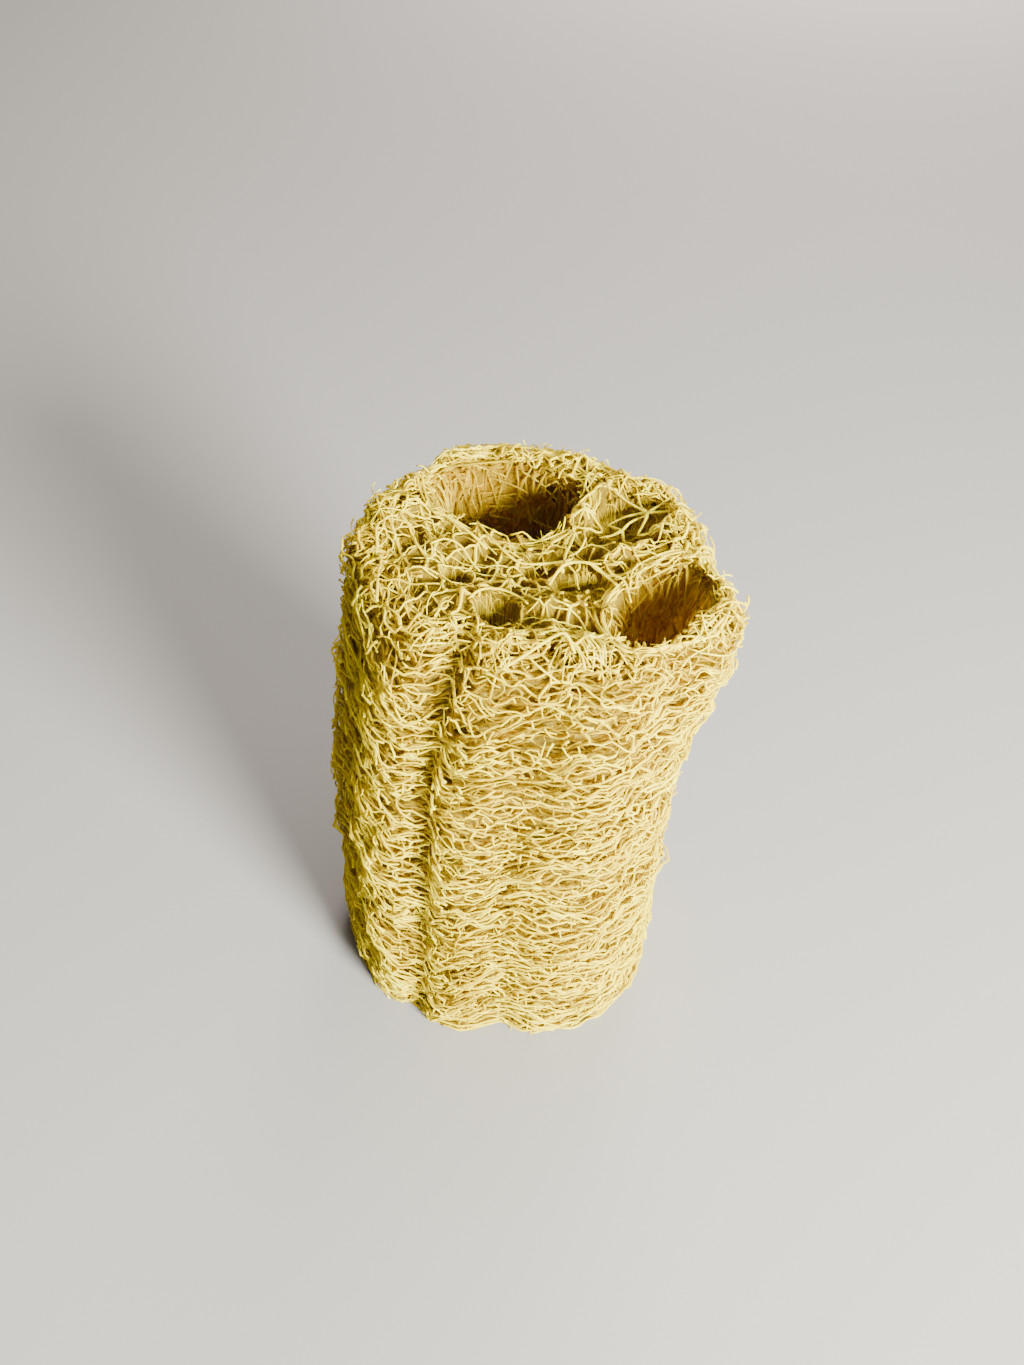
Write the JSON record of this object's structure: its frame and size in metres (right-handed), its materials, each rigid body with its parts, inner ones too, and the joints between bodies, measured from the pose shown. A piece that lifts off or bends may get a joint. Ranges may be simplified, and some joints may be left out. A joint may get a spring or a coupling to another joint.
{
  "type": "loofah sponge",
  "caption": "Natural loofah sponge: a stubby tube of interlaced dry gourd fibres with lengthwise creases and open seed hollows, for scrubbing skin or dishes.",
  "frame": {"origin": "middle of the footprint, on the surface the sponge stands on", "axes": "+Z along the sponge's length and up, +X to the right and -Y towards the side that was pictured"},
  "size_m": [0.076, 0.0662, 0.12],
  "materials": {
    "dry_fibre": "matt dry straw-yellow plant fibre"
  },
  "bodies": {
    "root": {"loofah_sponge": "dry_fibre"}
  },
  "joints": []
}
